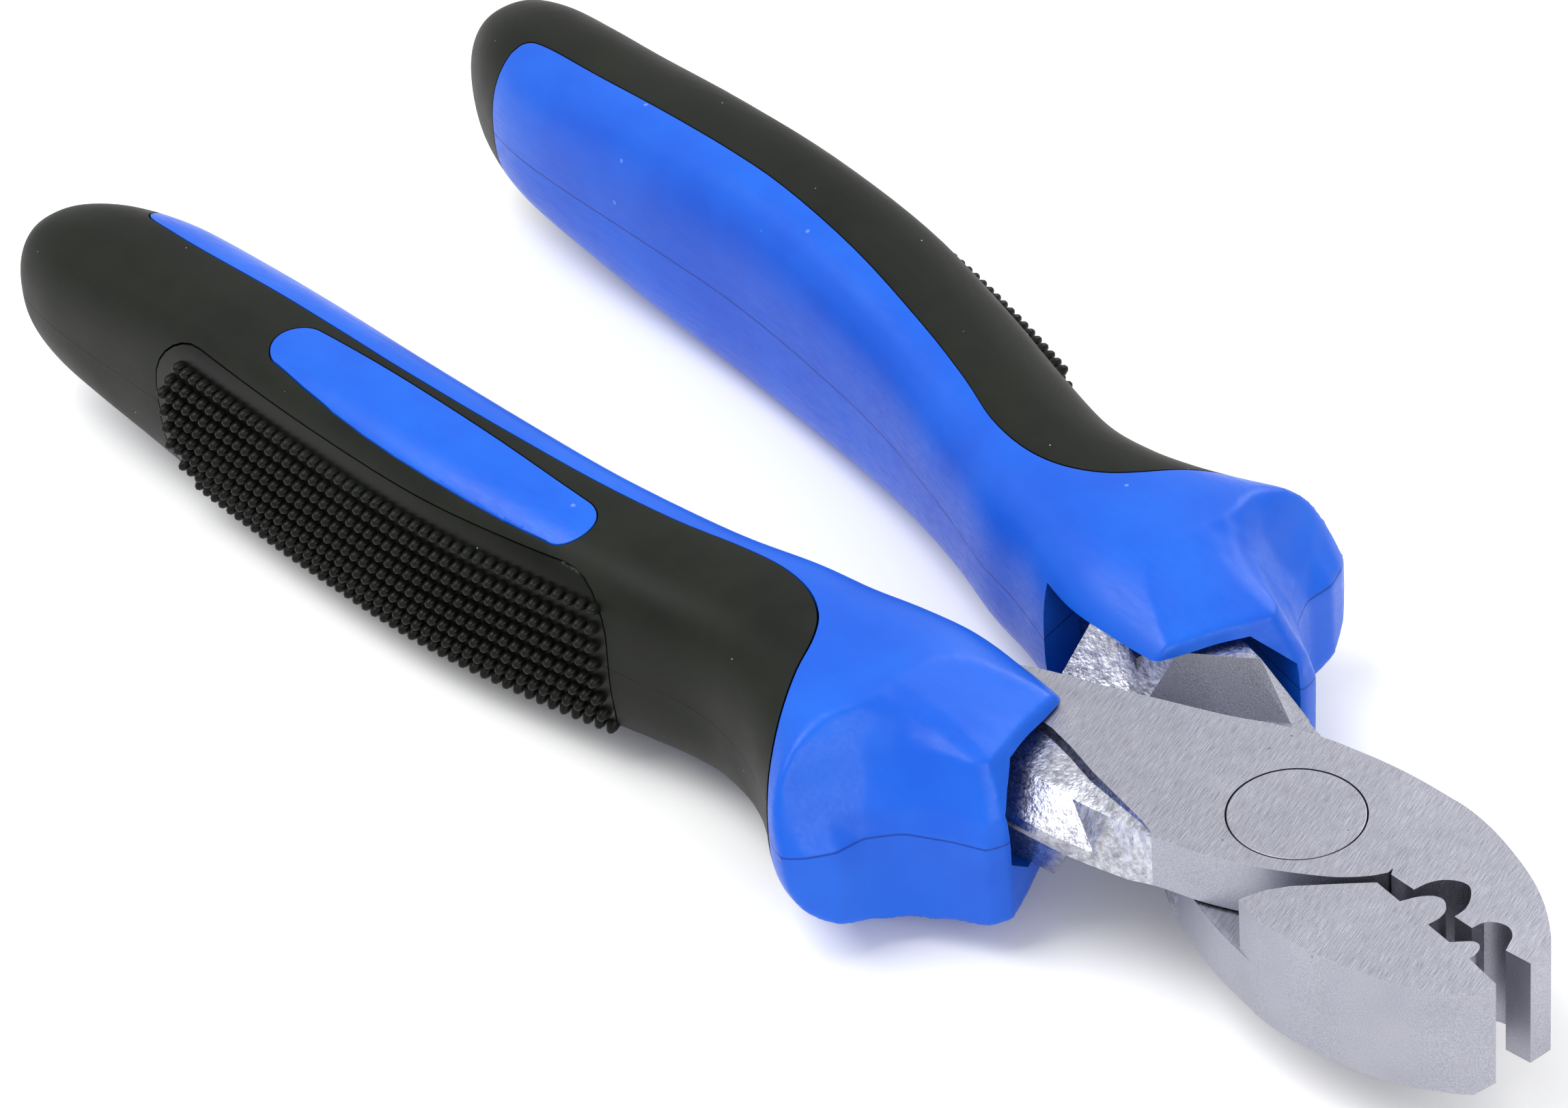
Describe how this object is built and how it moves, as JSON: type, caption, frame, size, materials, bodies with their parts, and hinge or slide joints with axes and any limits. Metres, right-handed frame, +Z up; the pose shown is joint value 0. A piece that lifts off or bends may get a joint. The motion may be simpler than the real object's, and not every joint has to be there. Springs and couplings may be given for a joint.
{
  "type": "crimping pliers",
  "caption": "Lap-jointed steel crimping pliers on a flush rivet, with nested die jaws and two-colour moulded handle sleeves with studded grip pads.",
  "frame": {"origin": "on the pivot axis, at the middle of the rivet's flush underside", "axes": "+X runs to the jaw tips along the bisector of the handles, +Z is up along the pivot axis, the front handle is at -Y and the rear handle at +Y"},
  "size_m": [0.1462, 0.0556, 0.0198],
  "materials": {
    "steel": "ground flats with fine diagonal lines, forged skin on the tangs",
    "rivet_steel": "ground flush with the head",
    "blue_plastic": "satin moulded plastic",
    "black_rubber": "soft-touch overmould",
    "pad_rubber": "studded soft rubber"
  },
  "bodies": {
    "rear_lever": {"rear_handle_lever": "steel", "rear_sleeve_core": "blue_plastic", "rear_soft_cover": "black_rubber", "rear_grip_pad": "pad_rubber", "pivot_rivet": "rivet_steel"},
    "front_lever": {"front_handle_lever": "steel", "front_sleeve_core": "blue_plastic", "front_soft_cover": "black_rubber", "front_grip_pad": "pad_rubber"}
  },
  "joints": [
    {"name": "pivot", "type": "hinge", "parent": "rear_lever", "child": "front_lever", "pos_m": [0, 0, 0.0045], "axis": [0, 0, 1], "range_deg": [-6, 22]}
  ]
}
